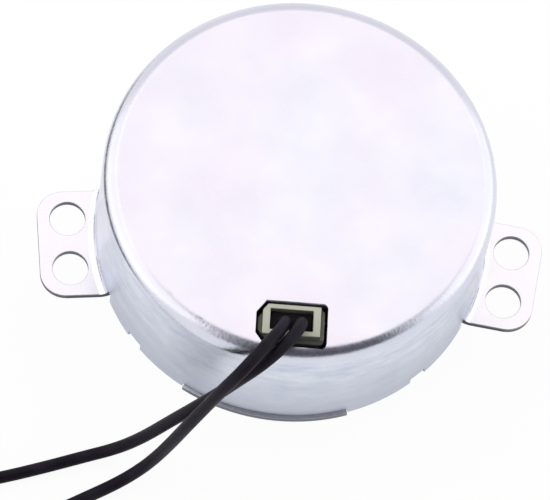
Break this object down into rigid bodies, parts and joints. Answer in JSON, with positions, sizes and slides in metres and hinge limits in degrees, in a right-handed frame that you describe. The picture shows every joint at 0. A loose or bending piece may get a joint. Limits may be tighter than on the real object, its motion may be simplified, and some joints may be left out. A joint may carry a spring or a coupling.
{
  "type": "synchronous gear motor",
  "caption": "Flat round synchronous gear motor: drawn steel can with bolt ears and a keyed plug window with loose leads, and an offset flatted shaft driven through a gear train.",
  "frame": {"origin": "on the can's axis, in the plane of the ears' mounting faces", "axes": "+Z towards the closed rear face, so the output shaft points along -Z; +X from ear to ear; the plug window is on the -Y side and the output shaft on the +Y side"},
  "size_m": [0.1062, 0.0733, 0.0377],
  "materials": {
    "plated_can": "zinc plated drawn sheet",
    "plated_plate": "zinc plated stamped sheet",
    "pole_steel": "plain stamped sheet",
    "turned_steel": "turned and ground",
    "bobbin_nylon": "moulded",
    "copper_wire": "enamelled wire",
    "coil_tape": "polyester tape",
    "tinned_brass": "tin plated",
    "plug_nylon": "moulded",
    "ferrite": "sintered",
    "gear_acetal": "moulded",
    "washer_nylon": "stamped",
    "bush_brass": "turned",
    "lead_pvc": "extruded insulation",
    "tinned_copper": "tinned strands"
  },
  "bodies": {
    "motor_frame": {"rear_can": "plated_can", "front_plate": "plated_plate", "gear_plate": "plated_plate", "front_pole_plate": "pole_steel", "rear_pole_plate": "pole_steel", "spacer_posts": "turned_steel", "rotor_pin": "turned_steel", "first_gear_pin": "turned_steel", "second_gear_pin": "turned_steel", "third_gear_pin": "turned_steel", "shaft_washer": "turned_steel", "coil_bobbin": "bobbin_nylon", "coil_winding": "copper_wire", "coil_wrap": "coil_tape", "terminal_pins": "tinned_brass", "crimp_terminals": "tinned_brass", "plug_housing": "plug_nylon", "rotor_washer": "washer_nylon", "shaft_bush": "bush_brass", "lead_left": "lead_pvc", "lead_right": "lead_pvc", "lead_tips": "tinned_copper"},
    "rotor": {"rotor_magnet": "ferrite", "rotor_hub": "gear_acetal"},
    "first_wheel": {"first_gear": "gear_acetal"},
    "second_wheel": {"second_gear": "gear_acetal"},
    "third_wheel": {"third_gear": "gear_acetal"},
    "output": {"output_gear": "gear_acetal", "output_shaft": "turned_steel"}
  },
  "joints": [
    {"name": "rotor_spin", "type": "hinge", "parent": "motor_frame", "child": "rotor", "pos_m": [0, 0, 0], "axis": [0, 0, 1], "continuous": true},
    {"name": "first_wheel_spin", "type": "hinge", "parent": "motor_frame", "child": "first_wheel", "pos_m": [-0.00727, -0.0042, 0], "axis": [0, 0, 1], "continuous": true},
    {"name": "second_wheel_spin", "type": "hinge", "parent": "motor_frame", "child": "second_wheel", "pos_m": [-0.01149, 0.00307, 0], "axis": [0, 0, 1], "continuous": true},
    {"name": "third_wheel_spin", "type": "hinge", "parent": "motor_frame", "child": "third_wheel", "pos_m": [-0.01125, 0.01146, 0], "axis": [0, 0, 1], "continuous": true},
    {"name": "output_spin", "type": "hinge", "parent": "motor_frame", "child": "output", "pos_m": [0, 0.0112, 0], "axis": [0, 0, 1], "continuous": true}
  ],
  "couplings": [
    {"joint": "first_wheel_spin", "follows": "rotor_spin", "ratio": -0.4},
    {"joint": "second_wheel_spin", "follows": "rotor_spin", "ratio": 0.16},
    {"joint": "third_wheel_spin", "follows": "rotor_spin", "ratio": -0.064},
    {"joint": "output_spin", "follows": "rotor_spin", "ratio": 0.016}
  ]
}
